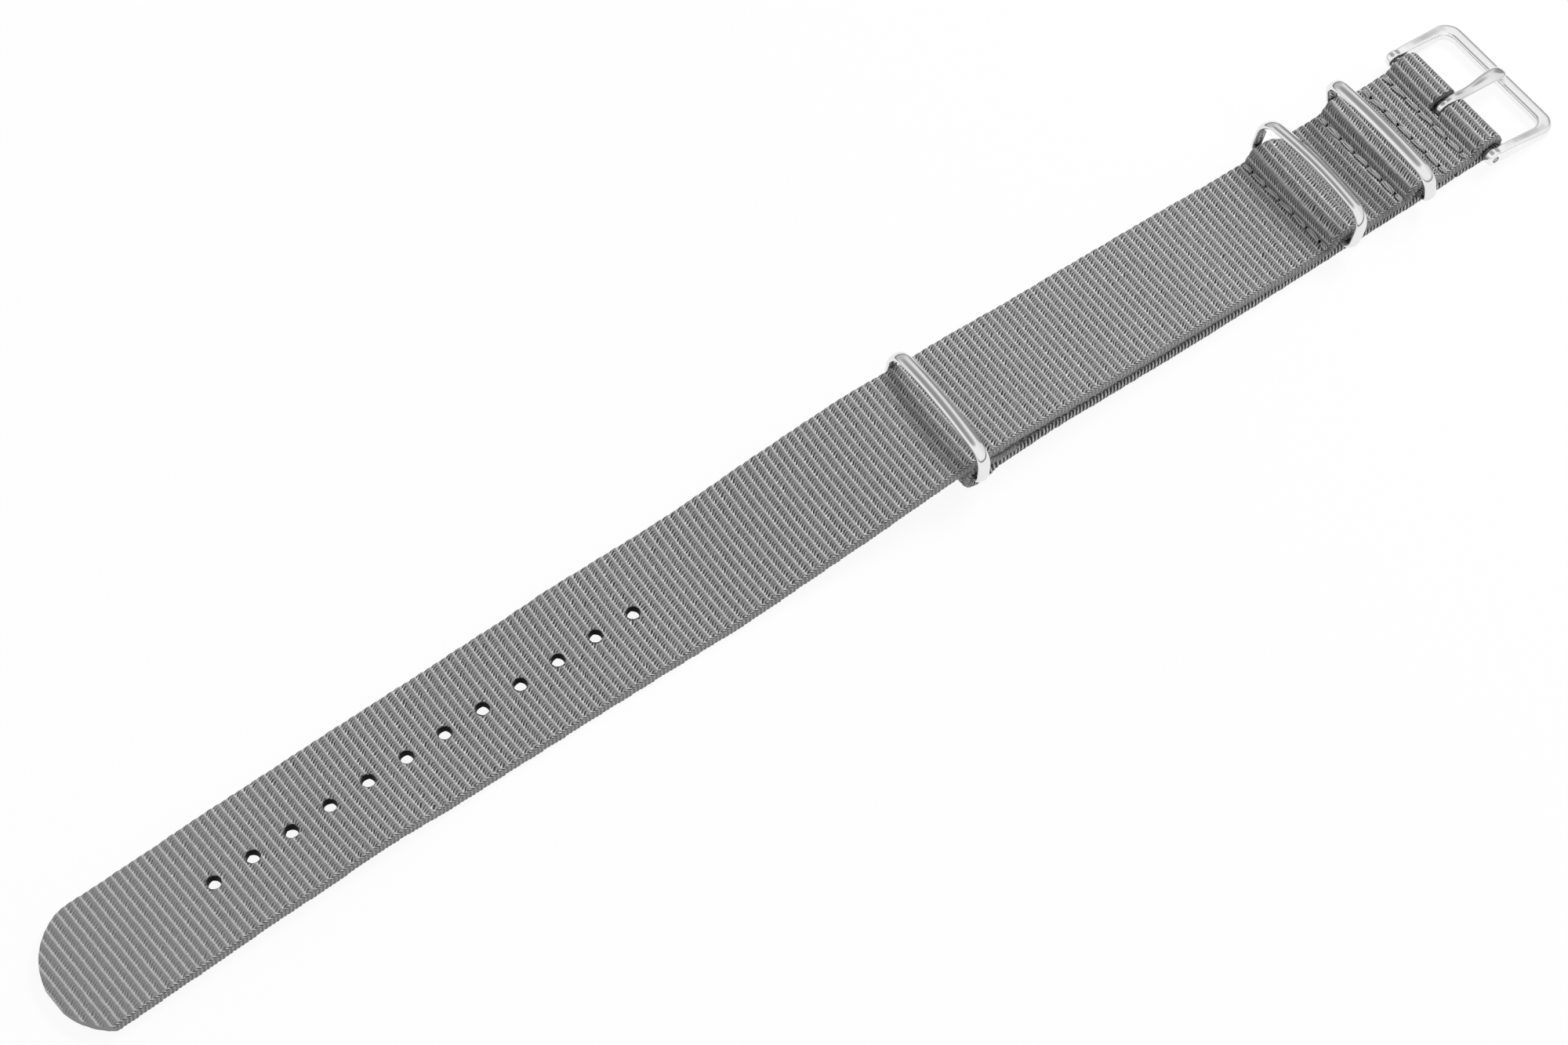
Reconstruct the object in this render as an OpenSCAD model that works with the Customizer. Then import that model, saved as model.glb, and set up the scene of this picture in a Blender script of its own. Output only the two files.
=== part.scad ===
// Pull-through watch strap: ribbed nylon webbing, a steel buckle on a spring bar,
// and three steel keeper rings. It lies open on a table, long tail to the left.

/* [Webbing] */
// Width of the webbing
web_w = 20; // [16:1:24]
// Thickness of one layer of webbing
web_t = 1.3; // [1.1:0.1:1.5]
// Length from the tail's tip to the buckle's bar
strap_len = 242.4; // [225:0.1:260]
// Radius of the heat-cut round tip
tip_r = 11; // [11:0.5:13]
// Sideways bow of the long tail
bow_max = 1.4; // [0:0.1:3]
// Play between two layers that lie on each other
ply_gap = 0.05; // [0.03:0.01:0.1]
// Slack of the fold in front of the buckle's bar
fold_slack = 1; // [0.5:0.1:1.5]

/* [Sizing holes] */
// Number of holes
hole_count = 12; // [8:1:13]
// Diameter of a hole
hole_d = 2.2; // [1.8:0.1:2.6]
// Distance between two holes
hole_pitch = 6.3; // [5.5:0.1:6.5]
// Distance from the tip to the first hole
first_hole = 26.5; // [24:0.5:28]

/* [Buckle frame] */
// Distance from the bar to the frame's outer edge
frame_len = 12.3; // [11.5:0.1:14]
// Clearance between the webbing's edge and each arm
arm_gap = 0.6; // [0.4:0.1:1]
// Width of an arm, seen from above
arm_w = 1.55; // [1.4:0.05:2]
// Width of the outer bar, seen from above
outer_bar_w = 2; // [1.6:0.1:2.4]
// Thickness of the outer bar
frame_t = 1.3; // [1.1:0.1:1.6]
// Bevel along the outer bar
frame_edge = 0.25; // [0.1:0.05:0.4]
// Radius of the ears round the spring bar
ear_r = 1.25; // [1.1:0.05:1.5]
// Radius of the ears' rounded outer ends, seen from above
ear_end_r = 0.6; // [0.3:0.1:0.9]
// Radius of the frame's outer corners
corner_r = 2.8; // [2.2:0.1:3.4]

/* [Tongue] */
// Width of the tongue at its eye
tongue_w = 1.7; // [1.5:0.1:2]
// Width of the tongue at its tip
tongue_tip_w = 1.95; // [1.8:0.05:2.2]
// Thickness of the tongue
tongue_t = 1.15; // [1:0.05:1.3]
// Wall of the eye that is curled round the bar
eye_wall = 0.55; // [0.45:0.05:0.65]
// Distance that the tip stops short of the frame's outer edge
tip_short = 0.7; // [0.4:0.1:1.2]
// Width of the tongue's slot in the webbing
slot_w = 2.5; // [2.4:0.1:3.6]

/* [Spring bar] */
// Outer diameter of the tube
tube_d = 1.5; // [1.4:0.05:1.7]
// Wall of the tube
tube_wall = 0.13; // [0.12:0.01:0.16]
// Thickness of the tube's closed ends
tube_end = 0.4; // [0.3:0.05:0.5]
// Diameter of a spring tip
pin_d = 0.8; // [0.7:0.05:0.9]
// Radial clearance of a tip in its holes
pin_clear = 0.05; // [0.03:0.01:0.08]
// Distance that each tip can be pressed in
pin_travel = 1.4; // [1.3:0.1:1.6]
// Length of a tip's head inside the tube
head_len = 1.4; // [1:0.1:2]
// Wire diameter of the coil
coil_wire = 0.14; // [0.1:0.01:0.18]
// Turns of the coil
coil_turns = 18; // [12:1:24]

/* [Keepers] */
// Width of a keeper's band
band_w = 2.1; // [1.8:0.1:2.3]
// Thickness of a keeper's band
band_t = 1.15; // [1:0.05:1.25]
// Radius of the band's rounded edges
band_edge = 0.4; // [0.3:0.05:0.45]
// Clearance between the webbing's edge and a keeper
keeper_gap = 0.6; // [0.4:0.1:1]
// Height of a keeper between the middles of its two bars
keeper_h = 6; // [5.6:0.1:7]
// Rise of the crowned upper bar
crown = 1; // [0.6:0.1:1.4]
// Radius of a keeper's upper corners, at the middle of its band
keeper_r = 2.3; // [2:0.1:2.6]
// Radius of its lower corners, beside the webbing's edges
keeper_low_r = 1.5; // [1.2:0.1:1.6]
// Distance from the bar to the front keeper
front_at = 12.5; // [12:0.1:13]
// Distance from the bar to the rear keeper
rear_at = 27.2; // [27:0.1:32]
// Distance from the bar to the loose keeper
loose_at = 94.9; // [85:0.1:110]
// Lean of the front keeper towards the buckle, in degrees
front_lean = -8; // [-20:1:20]
// Lean of the rear keeper towards the buckle, in degrees
rear_lean = 16; // [-20:1:20]
// Lean of the loose keeper towards the buckle, in degrees
loose_lean = 6; // [-20:1:20]
// Height of the pocket between two layers that holds a keeper's lower bar
pocket_h = 2; // [1.9:0.1:2.3]

/* [Stitching] */
// Distance from the bar to stitch row 1
row1_at = 3.6; // [3.5:0.1:3.8]
// Distance from the bar to stitch row 2
row2_at = 7.7; // [7.5:0.1:8]
// Distance from the bar to stitch row 3
row3_at = 16.2; // [16.1:0.1:17.5]
// Distance from the bar to stitch row 4
row4_at = 30.5; // [30.4:0.1:32]
// Distance from the loose keeper to stitch row 5
row5_from_keeper = 4.9; // [4.8:0.1:6]
// Whole stitches in a row, between the short ones that run out to the edges
stitch_count = 5; // [4:1:6]
// Diameter of the thread
thread_d = 0.5; // [0.4:0.05:0.5]

/* [Hidden] */

$fn = 48;
grey = "dimgray";
steel = "silver";
cut = 0.02;

// The bar's axis is x 0 here, and the tail runs to negative x.
half_w = web_w / 2;
tube_r = tube_d / 2;
fold_in_r = tube_r + 0.1;
fold_out_r = fold_in_r + web_t;
bar_z = fold_out_r;
fold_top = 2 * fold_out_r;
fold_end = fold_slack + fold_out_r;
foot = [frame_len - frame_edge, frame_t / 2];
tilt = asin(bar_z / norm(foot)) - atan2(foot[1], foot[0]);
frame_end_x = frame_len * cos(tilt) + (frame_t / 2 - frame_edge) * sin(tilt);
bar_x = (strap_len - frame_end_x) / 2;
tip_x = -strap_len;

// Heights of the layers: bottom of the upper one where two lie together, and over a keeper's bar
over_z = web_t + ply_gap;
pocket_z = web_t + pocket_h + ply_gap;
row_x = [-row1_at, -row2_at, -row3_at, -row4_at];
row_flat = 0.5;
bar_flat = band_w / 2 + 0.05;
keeper_bar_z = web_t + pocket_h / 2 + ply_gap / 2;

// The loose keeper's lower bar lies in a round fold of the short webbing.
pocket_r = norm([band_w / 2 - band_edge, band_t / 2 - band_edge]) + band_edge + 0.1;
loose_x = -loose_at;
loose_z = web_t + pocket_r;
loose_top = 2 * (web_t + pocket_r) + ply_gap;
row5_x = loose_x + row5_from_keeper;
row5_low = 1.3;

// A folded-back end is cut off a little way past the stitch row that holds it.
end_past_row = 2.4;
short_end = row5_x + end_past_row;
join_x = -row2_at + end_past_row - 0.5;

// Sideways bow of the tail, as one arch between the loose keeper and the tip
function bow_share(x) = max(0, min(1, (loose_x - x) / (loose_x - tip_x)));
function bow(x) = bow_max * pow(max(0, sin(180 * bow_share(x))), 1.3);

// A smooth curve through [x, height] points that never swings past them
function rise(k, i) = (k[i + 1][1] - k[i][1]) / (k[i + 1][0] - k[i][0]);
function slope(k, i) = i == 0 ? rise(k, 0) : i == len(k) - 1 ? rise(k, i - 1)
    : rise(k, i - 1) * rise(k, i) <= 0 ? 0
    : 2 * rise(k, i - 1) * rise(k, i) / (rise(k, i - 1) + rise(k, i));
function between(k, i, t) = let(d = k[i + 1][0] - k[i][0], u = 1 - t)
    [k[i][0] + d * t, u * u * (1 + 2 * t) * k[i][1] + t * t * (1 + 2 * u) * k[i + 1][1]
        + t * u * d * (u * slope(k, i) - t * slope(k, i + 1))];
function steps(k, i) = k[i][1] == k[i + 1][1] ? 1
    : min(8, max(4, ceil((k[i + 1][0] - k[i][0]) / 3)));
function curve(k) = [for (i = [0 : len(k) - 2]) for (s = [0 : steps(k, i) - 1]) between(k, i, s / steps(k, i)),
    k[len(k) - 1]];

// A layer lies flat for a short way at a stitch row, and over a keeper's bar.
function flat_row(x, z) = [[x - row_flat, z], [x + row_flat, z]];
function flat_bar(x) = [[x - bar_flat, pocket_z], [x + bar_flat, pocket_z]];

// Height of the long webbing's underside, tip to bar. The tail lies in slack waves.
tail = loose_x - tip_x;
main_line = concat(
    [[tip_x, 0], [tip_x + 0.09 * tail, 0], [tip_x + 0.2 * tail, 0.7], [tip_x + 0.37 * tail, 0],
        [tip_x + 0.54 * tail, 0.2], [tip_x + 0.71 * tail, 0.7], [tip_x + 0.85 * tail, 3.1],
        [loose_x - 3, loose_top], [loose_x + 2, loose_top], [loose_x + 22, 3.75], [loose_x + 44, 2.6]],
    flat_row(-row4_at, over_z),
    flat_bar(-rear_at), [[-rear_at + 4.6, over_z]],
    flat_row(-row3_at, over_z), flat_bar(-front_at),
    flat_row(-row2_at, over_z), flat_row(-row1_at, over_z),
    [[-0.3, fold_top - web_t], [fold_slack + cut, fold_top - web_t]]);

// Height of the short webbing's underside, from the loose keeper's fold to its sewn end
under_line = concat(
    [[loose_x, 0], [loose_x + 1, 0], [row5_x - row_flat, row5_low], [short_end, row5_low],
        [loose_x + 12, 1.6], [loose_x + 22, 1.15], [loose_x + 40, 0.3], [-row4_at - 8, 0], [join_x - 0.3, 0]]);
// Height of its folded-back end, above that
back_line = concat([[loose_x, loose_top - ply_gap - web_t], [loose_x + 0.8, loose_top - ply_gap - web_t]],
    flat_row(row5_x, row5_low + over_z), [[short_end, row5_low + over_z]]);

module layer(line) {
    low = curve(line);
    polygon(concat(low, [for (i = [len(low) - 1 : -1 : 0]) low[i] + [0, web_t]]));
}

module half_ring(inner_r, outer_r, side) {
    intersection() {
        difference() {
            circle(outer_r);
            circle(inner_r);
        }
        translate([side > 0 ? 0 : -2 * outer_r, -2 * outer_r]) square([2 * outer_r, 4 * outer_r]);
    }
}

// Turns a side view, drawn in x and z, into a solid that runs across the strap
module across(w) {
    rotate([90, 0, 0]) linear_extrude(w, center = true) children();
}

// The webbing's outline from above, with its bow and its round tip
plan_steps = 46;
module plan_strip() {
    xs = [for (i = [0 : plan_steps]) tip_x - 1 + i * (fold_end + 2 - tip_x) / plan_steps];
    polygon(concat([for (x = xs) [x, bow(x) - half_w]],
        [for (i = [len(xs) - 1 : -1 : 0]) [xs[i], bow(xs[i]) + half_w]]));
}

module plan_with_tip() {
    intersection() {
        plan_strip();
        union() {
            translate([tip_x + tip_r, half_w + bow(tip_x + tip_r) - tip_r + 0.05]) circle(tip_r);
            translate([tip_x + tip_r, -web_w]) square([strap_len, 2 * web_w]);
        }
    }
}

// Needle holes of a row at x, and the grooves that its threads press in above and below
hole_step = web_w / (stitch_count + 1.5);
function hole_y(i) = (i - stitch_count / 2) * hole_step;
// The last stitches stop a little way inside the edges.
edge_bare = 0.6;
end_stitch = half_w - edge_bare - hole_y(stitch_count);
groove_w = thread_d + 0.1;
module row_cuts(x, low_z, top_z) {
    translate([x, 0, 0]) {
        for (i = [0 : stitch_count])
            translate([0, hole_y(i), low_z - cut])
                cylinder(h = top_z - low_z + 2 * cut, d = groove_w - 0.1, $fn = 24);
        translate([0, 0, top_z]) cube([groove_w, 2 * web_w, 1.2 * thread_d + 0.1], center = true);
        translate([0, 0, low_z]) cube([groove_w, 2 * web_w, 2 * thread_d + 0.2], center = true);
    }
}

function row_top(i) = i < 5 ? over_z + web_t : row5_low + over_z + web_t;
function row_low(i) = i < 5 ? 0 : row5_low;
function row_at(i) = i < 5 ? row_x[i - 1] : row5_x;

// A thread lies along its row, and goes half way down each needle hole to meet the other thread.
module stitches(row, upper) {
    mid = (row_top(row) + row_low(row)) / 2;
    rod_z = upper ? row_top(row) - 0.1 * thread_d : row_low(row) + 0.6 * thread_d;
    end_z = upper ? mid + 0.03 : mid - 0.03;
    rod_len = hole_step - 0.3 * thread_d;
    translate([bar_x + row_at(row), 0, 0]) {
        for (i = [0 : stitch_count - 1])
            translate([0, (hole_y(i) + hole_y(i + 1)) / 2, rod_z])
                rotate([90, 0, 0]) cylinder(h = rod_len, d = thread_d, center = true, $fn = 16);
        for (side = [-1, 1])
            translate([0, side * (hole_y(stitch_count) + end_stitch / 2), rod_z])
                rotate([90, 0, 0]) cylinder(h = end_stitch, d = thread_d, center = true, $fn = 16);
        for (i = [0 : stitch_count])
            translate([0, hole_y(i), min(rod_z, end_z)])
                cylinder(h = abs(rod_z - end_z), d = 0.8 * thread_d, $fn = 16);
    }
}

module main_strap() {
    color(grey) translate([bar_x, 0, 0]) difference() {
        intersection() {
            across(3 * web_w) union() {
                layer(main_line);
                translate([fold_slack, bar_z]) half_ring(fold_in_r, fold_out_r, 1);
                translate([join_x, 0]) square([fold_slack + cut - join_x, web_t]);
            }
            linear_extrude(60, center = true) plan_with_tip();
        }
        for (i = [0 : hole_count - 1])
            let(x = tip_x + first_hole + i * hole_pitch)
                translate([x, bow(x), -1]) cylinder(h = 20, d = hole_d);
        translate([-fold_out_r - 0.25, -slot_w / 2, -1]) cube([fold_end + fold_out_r + 1, slot_w, fold_top + 2]);
        for (r = [1 : 4]) row_cuts(row_at(r), row_low(r), row_top(r));
    }
}

module keeper_strap() {
    color(grey) translate([bar_x, 0, 0]) difference() {
        intersection() {
            across(3 * web_w) union() {
                layer(under_line);
                layer(back_line);
                translate([loose_x, loose_z]) half_ring(pocket_r, pocket_r + web_t, -1);
            }
            translate([loose_x - web_w, -half_w, -web_w]) cube([strap_len, web_w, 2 * web_w]);
        }
        for (r = [2 : 5]) row_cuts(row_at(r), row_low(r), row_top(r));
    }
}

// The frame lies in its own plane here, bar axis at the origin, and is then tilted to the table.
module on_bar() {
    translate([bar_x, 0, bar_z]) rotate([0, tilt, 0]) children();
}

module rod(length, r) {
    rotate([90, 0, 0]) cylinder(h = length, r = r, center = true);
}

in_half = half_w + arm_gap;
out_half = in_half + arm_w;

module rounded_block(x0, x1, half, r) {
    translate([x0, -half]) square([x1 - x0 - r, 2 * half]);
    translate([x0, r - half]) square([x1 - x0, 2 * (half - r)]);
    for (s = [-1, 1]) translate([x1 - r, s * (half - r)]) circle(r);
}

module frame_plan() {
    difference() {
        union() {
            rounded_block(0, frame_len, out_half, corner_r);
            mirror([1, 0]) rounded_block(-cut, ear_r, out_half, ear_end_r);
        }
        rounded_block(-3 * ear_r, frame_len - outer_bar_w, in_half, corner_r - arm_w + 0.4);
    }
}

// The arms' side view, thinner towards the outer bar. The round ears are added to it.
module arm_side() {
    half = frame_t / 2;
    neck = ear_r - 0.15;
    upper = concat(curve([[0.4 * ear_r, neck - 0.1], [1.7 * ear_r, neck], [0.7 * frame_len, half + 0.08],
        [frame_len - outer_bar_w, half]]), [[frame_len - frame_edge, half], [frame_len, half - frame_edge]]);
    polygon(concat(upper, [for (i = [len(upper) - 1 : -1 : 0]) [upper[i][0], -upper[i][1]]]));
}

module buckle_frame() {
    color(steel) on_bar() difference() {
        intersection() {
            linear_extrude(20, center = true) frame_plan();
            union() {
                across(3 * web_w) arm_side();
                rod(3 * web_w, ear_r);
            }
        }
        rod(4 * web_w, pin_d / 2 + pin_clear);
    }
}

// The tongue: an eye curled round the bar, an arched shank, and a round tip over the outer bar
eye_in_r = tube_r + 0.08;
eye_out_r = eye_in_r + eye_wall;
tongue_end = frame_len - tip_short;
rest_z = frame_t / 2 + 0.1;
tip_edge = 0.4;
slit_w = 0.16;

// The arch of the shank's underside: distance from the bar, and height above its axis
shank_arch = [[2.2, 0.38], [5.2, 0.86], [7.8, 1.02], [frame_len - outer_bar_w, rest_z]];

module shank_side() {
    under = curve(shank_arch);
    polygon(concat([[tip_edge / 2, eye_out_r - tip_edge / 2]], [for (p = under) p + [0, tongue_t]],
        [[tongue_end - tip_edge, rest_z + tongue_t - tip_edge / 2], [tongue_end, rest_z + tongue_t / 2],
            [tongue_end - tip_edge / 4, rest_z + tip_edge / 3], [tongue_end - tip_edge, rest_z]],
        [for (i = [len(under) - 1 : -1 : 0]) under[i]], [[tip_edge / 2, 0]]));
}

// Seen from above it widens towards its half-round tip.
widens_at = 5;
wide_at = 8.5;
module tongue_plan() {
    root = tongue_w / 2;
    tip = tongue_tip_w / 2;
    linear_extrude(20, center = true)
        polygon([[-2 * eye_out_r, root], [widens_at, root], [wide_at, tip], [tongue_end - tip, tip],
            [tongue_end - tip, -tip], [wide_at, -tip], [widens_at, -root], [-2 * eye_out_r, -root]]);
    translate([tongue_end - tip, 0, 0]) cylinder(h = 20, r = tip, center = true);
}

module buckle_tongue() {
    color(steel) on_bar() difference() {
        intersection() {
            union() {
                across(2 * tongue_tip_w) shank_side();
                rod(2 * tongue_tip_w, eye_out_r);
            }
            tongue_plan();
        }
        rod(3 * tongue_tip_w, eye_in_r);
        // the slit where the curled end meets the shank
        translate([eye_in_r - 0.1, -web_w / 2, -1.5 * slit_w]) cube([eye_wall + 0.4, web_w, slit_w]);
    }
}

// The spring bar: a tube with closed ends, and a headed tip in each end, pushed out by one coil
tube_half = in_half - 0.25;
bore_r = tube_r - tube_wall;
head_r = bore_r - pin_clear;
head_out = tube_half - tube_end - 0.03;
pin_end = in_half + pin_travel - 0.2;

module bar_tube() {
    color(steel) translate([bar_x, 0, bar_z]) rotate([90, 0, 0]) difference() {
        cylinder(h = 2 * tube_half, r = tube_r, center = true);
        cylinder(h = 2 * (tube_half - tube_end), r = bore_r, center = true);
        cylinder(h = 3 * tube_half, r = pin_d / 2 + pin_clear, center = true);
    }
}

module bar_tip(side) {
    color(steel) translate([bar_x, 0, bar_z]) rotate([side * 90, 0, 0]) union() {
        translate([0, 0, head_out - head_len]) cylinder(h = head_len, r = head_r, $fn = 32);
        translate([0, 0, head_out - head_len / 2])
            cylinder(h = pin_end - head_out + head_len / 2, r = pin_d / 2, $fn = 32);
    }
}

// The coil is one wire of square section, swept by its own formula.
coil_r = head_r - coil_wire / 2 - 0.02;
coil_half = head_out - head_len - 0.05 - coil_wire / 2;
coil_steps = 8 * coil_turns;
function coil_point(i, j) = let(a = 360 * i / 8, r = coil_r + coil_wire / 2 * cos(90 * j + 45),
    s = coil_half * (2 * i / coil_steps - 1) + coil_wire / 2 * sin(90 * j + 45)) [r * cos(a), s, r * sin(a)];

module bar_spring() {
    rings = coil_steps + 1;
    points = [for (i = [0 : coil_steps]) for (j = [0 : 3]) coil_point(i, j)];
    walls = [for (i = [0 : coil_steps - 1]) for (j = [0 : 3]) let(a = 4 * i + j, b = 4 * i + (j + 1) % 4)
        each [[a, a + 4, b], [b, a + 4, b + 4]]];
    ends = [[0, 1, 2], [0, 2, 3], [4 * rings - 2, 4 * rings - 3, 4 * rings - 4],
        [4 * rings - 1, 4 * rings - 2, 4 * rings - 4]];
    color(steel) translate([bar_x, 0, bar_z]) polyhedron(points, concat(walls, ends));
}

// A keeper is bent from one band, so it is made of straight and turned stretches of one section.
// It stands in the y-z plane here, with the middle of its lower bar at the origin.
ring_half = half_w + keeper_gap + band_t / 2;
function crown_r(half) = (half * half + crown * crown) / (2 * crown);

module band_section() {
    square([band_t - 2 * band_edge, band_w], center = true);
    square([band_t, band_w - 2 * band_edge], center = true);
    for (sx = [-1, 1]) for (sy = [-1, 1])
        translate([sx * (band_t / 2 - band_edge), sy * (band_w / 2 - band_edge)]) circle(band_edge, $fn = 24);
}

// A bend in the ring's plane: centre, radius, first angle and sweep
module bend(y, z, r, from, sweep) {
    translate([y, z, 0]) rotate([0, 0, from]) rotate_extrude(angle = sweep, $fn = 96)
        translate([r, 0]) band_section();
}

module straight(y, z, turn, length) {
    translate([y, z, 0]) rotate([0, 0, turn]) rotate([-90, 0, 0]) linear_extrude(length) band_section();
}

module ring_flat() {
    top_half = ring_half - keeper_r;
    arch_r = round(100 * (crown_r(ring_half) + keeper_r)) / 100;
    arch_z = keeper_h + crown - arch_r;
    lean = asin(top_half / (arch_r - keeper_r));
    corner_z = arch_z + (arch_r - keeper_r) * cos(lean);
    low_half = ring_half - keeper_low_r;
    straight(-low_half, 0, -90, 2 * low_half);
    for (s = [0, 1]) mirror([s, 0, 0]) {
        bend(low_half, keeper_low_r, keeper_low_r, -90, 90);
        straight(ring_half, keeper_low_r, 0, corner_z - keeper_low_r);
        bend(top_half, corner_z, keeper_r, 0, 90 - lean);
        bend(0, arch_z, arch_r, 90, lean);
    }
}

module keeper(x, z, lean) {
    color(steel) translate([bar_x + x, 0, z]) rotate([0, lean, 0])
        rotate([0, 0, 90]) rotate([90, 0, 0]) ring_flat();
}

module keeper_front() keeper(-front_at, keeper_bar_z, front_lean);
module keeper_rear() keeper(-rear_at, keeper_bar_z, rear_lean);
module keeper_loose() keeper(loose_x, loose_z, loose_lean);

main_strap();
keeper_strap();
buckle_frame();
buckle_tongue();
bar_tube();
bar_tip(1);  // bar_tip_near
bar_tip(-1);  // bar_tip_far
bar_spring();
keeper_front();
keeper_rear();
keeper_loose();
stitches(1, true);  // row_1_needle_thread
stitches(1, false);  // row_1_bobbin_thread
stitches(2, true);  // row_2_needle_thread
stitches(2, false);  // row_2_bobbin_thread
stitches(3, true);  // row_3_needle_thread
stitches(3, false);  // row_3_bobbin_thread
stitches(4, true);  // row_4_needle_thread
stitches(4, false);  // row_4_bobbin_thread
stitches(5, true);  // row_5_needle_thread
stitches(5, false);  // row_5_bobbin_thread
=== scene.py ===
import math
import random

import bpy
import numpy as np
from mathutils import Matrix, Vector


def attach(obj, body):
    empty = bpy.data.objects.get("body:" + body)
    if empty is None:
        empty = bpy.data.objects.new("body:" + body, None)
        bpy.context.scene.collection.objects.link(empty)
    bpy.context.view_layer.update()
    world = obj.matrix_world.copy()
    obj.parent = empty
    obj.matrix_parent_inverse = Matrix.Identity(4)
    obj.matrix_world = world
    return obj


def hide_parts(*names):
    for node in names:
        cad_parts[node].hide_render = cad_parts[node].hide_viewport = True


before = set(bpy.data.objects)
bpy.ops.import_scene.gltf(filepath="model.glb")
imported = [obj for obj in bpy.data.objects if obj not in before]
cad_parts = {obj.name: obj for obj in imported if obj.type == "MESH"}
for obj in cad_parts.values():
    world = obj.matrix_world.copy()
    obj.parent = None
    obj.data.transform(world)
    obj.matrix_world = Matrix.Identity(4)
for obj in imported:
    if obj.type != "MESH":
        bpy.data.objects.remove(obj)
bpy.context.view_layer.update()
bpy.ops.object.select_all(action="DESELECT")
mm = 0.001
barX = 115.0732  # the bar's axis, in mm from the middle of the strap; the routes below start there
webThick = 1.3
barZ = 2.15  # the bar's axis above the table
print("frame loaded:", len(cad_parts), "nodes")


def focusOn(piece):
    bpy.ops.object.select_all(action="DESELECT")
    piece.select_set(True)
    bpy.context.view_layer.objects.active = piece


def namedPiece(name):
    piece = bpy.context.object
    piece.name = name
    piece.data.name = name
    return piece


def meshPiece(name, points, faces):
    mesh = bpy.data.meshes.new(name)
    mesh.from_pydata([tuple(p) for p in points], [], faces)
    mesh.update()
    piece = bpy.data.objects.new(name, mesh)
    bpy.context.scene.collection.objects.link(piece)
    return piece


def applyModifier(piece, kind, **settings):
    focusOn(piece)
    modifier = piece.modifiers.new(kind.lower(), kind)
    for key, value in settings.items():
        setattr(modifier, key, value)
    bpy.ops.object.modifier_apply(modifier=modifier.name)


def smoothShade(piece, degrees):
    focusOn(piece)
    bpy.ops.object.shade_smooth_by_angle(angle=math.radians(degrees))


def finishPiece(piece, body, slot, material, *nodes):
    piece.data.materials.clear()
    piece.data.materials.append(material)
    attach(piece, body)
    if nodes:
        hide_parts(*nodes)


# the camera that fits the photograph
cameraValues = {"place": (-0.21276, -0.27593, 0.56186), "turn": (31.651, -0.073, -36.672), "lens": 108,
                "sensor": 36, "clipStart": 0.01}
cameraData = bpy.data.cameras.new("camera")
cameraData.sensor_fit = "HORIZONTAL"
cameraData.sensor_width = cameraValues["sensor"]
cameraData.lens = cameraValues["lens"]
cameraData.clip_start = cameraValues["clipStart"]
camera = bpy.data.objects.new("camera", cameraData)
camera.location = cameraValues["place"]
camera.rotation_euler = [math.radians(a) for a in cameraValues["turn"]]
bpy.context.scene.collection.objects.link(camera)
bpy.context.scene.camera = camera
bpy.context.scene.view_settings.view_transform = "Standard"

# each lamp's place, size and power
lampValues = {"keyLight": ((0.74, 0.06, 0.72), (0.5, 0.26), 7.5),
              "fillLight": ((-0.25, -0.95, 0.6), (0.8, 0.5), 1.5),
              "backLight": ((-0.5, 0.8, 0.7), (0.5, 0.5), 0.8)}
# the room that the metal mirrors: each grey is followed by where it begins and where it is full
roomValues = {"ambient": 0.45, "buckleSide": 0.86, "buckleSideFrom": (0.35, 0.8), "farSide": 0.55,
              "farSideFrom": (0.5, 0.9), "horizon": 0.12, "horizonFrom": (0.02, 0.2), "patchGrey": 0.33,
              "patches": [((0.0, 0.41, 0.91), (0.81, 0.99)), ((0.90, 0.33, 0.30), (0.91, 0.985))]}
floorValues = {"size": 3.0, "drop": 0.0002, "color": 0.9, "rough": 0.9, "white": 0.92,
               "farGrey": 0.12, "farFrom": (0.22, 0.6)}


def areaLight(name, place, size, power):
    data = bpy.data.lights.new(name, "AREA")
    data.shape = "RECTANGLE"
    data.size, data.size_y = size
    data.energy = power
    lamp = bpy.data.objects.new(name, data)
    lamp.location = place
    lamp.rotation_euler = (-Vector(place)).to_track_quat("-Z", "Y").to_euler()
    lamp.visible_glossy = False
    bpy.context.scene.collection.objects.link(lamp)


for name, (place, size, power) in lampValues.items():
    areaLight(name, place, size, power)


def link(tree, source, target):
    tree.links.new(source, target)


def addNode(tree, kind, **settings):
    node = tree.nodes.new(kind)
    for key, value in settings.items():
        setattr(node, key, value)
    return node


def feed(tree, socket, value):
    if isinstance(value, (int, float, tuple, list)):
        socket.default_value = value
    else:
        link(tree, value, socket)


def addMath(tree, operation, first, second=0.0, third=0.0, clamp=False):
    node = addNode(tree, "ShaderNodeMath", operation=operation, use_clamp=clamp)
    for socket, value in zip(node.inputs, (first, second, third)):
        feed(tree, socket, value)
    return node.outputs[0]


def addRange(tree, value, low, high, toLow=0.0, toHigh=1.0, kind="SMOOTHSTEP"):
    node = addNode(tree, "ShaderNodeMapRange", interpolation_type=kind)
    for index, given in enumerate((value, low, high, toLow, toHigh)):
        feed(tree, node.inputs[index], given)
    return node.outputs[0]


def addMix(tree, factor, first, second):
    node = addNode(tree, "ShaderNodeMix", data_type="RGBA")
    feed(tree, node.inputs[0], factor)
    feed(tree, node.inputs[6], first)
    feed(tree, node.inputs[7], second)
    return node.outputs[2]


def grey(level):
    return (level, level, level, 1)


def addGrey(tree, value):  # a value that changes, as a colour
    node = addNode(tree, "ShaderNodeCombineColor")
    for index in range(3):
        link(tree, value, node.inputs[index])
    return node.outputs[0]


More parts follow.
